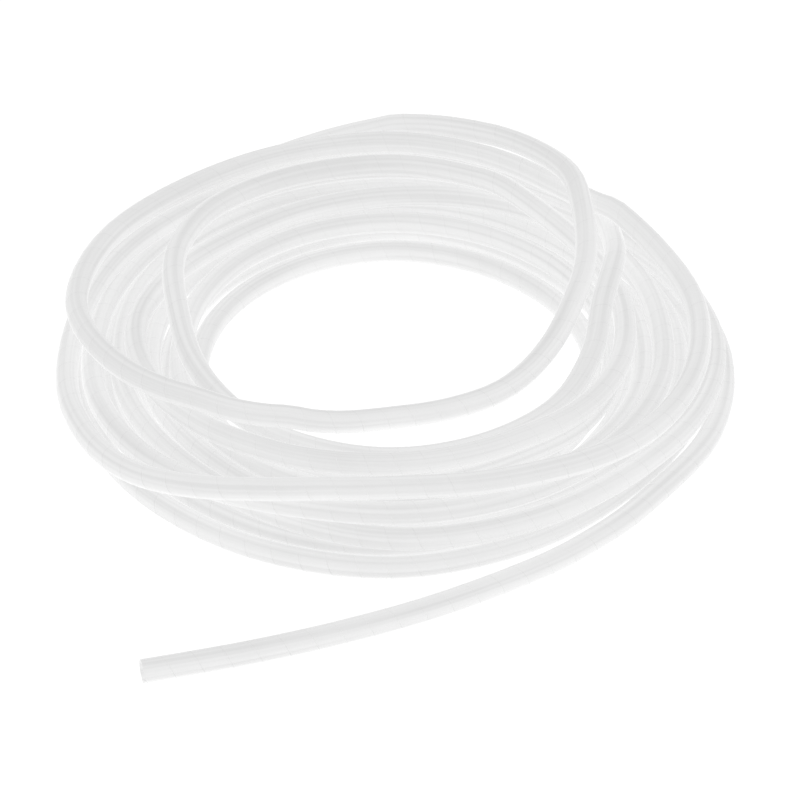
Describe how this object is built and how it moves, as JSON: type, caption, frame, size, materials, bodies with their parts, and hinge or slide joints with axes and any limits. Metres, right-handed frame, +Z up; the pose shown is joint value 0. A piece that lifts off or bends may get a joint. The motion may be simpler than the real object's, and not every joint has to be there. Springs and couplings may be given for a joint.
{
  "type": "spiral cable wrap",
  "caption": "Length of flexible spiral cable wrap, a slit translucent plastic tube that winds round a bundle of cables, lying as a loose coil with a free tail.",
  "frame": {"origin": "middle of the coil and tail's outline, on the surface that the coil lies on", "axes": "+Z up out of the surface, -Y towards the side where the tail runs off"},
  "size_m": [0.2971, 0.3744, 0.0579],
  "materials": {
    "natural_polyethylene": "milky translucent natural polyethylene, smooth with a soft satin sheen"
  },
  "bodies": {
    "root": {"spiral_wrap": "natural_polyethylene"}
  },
  "joints": []
}
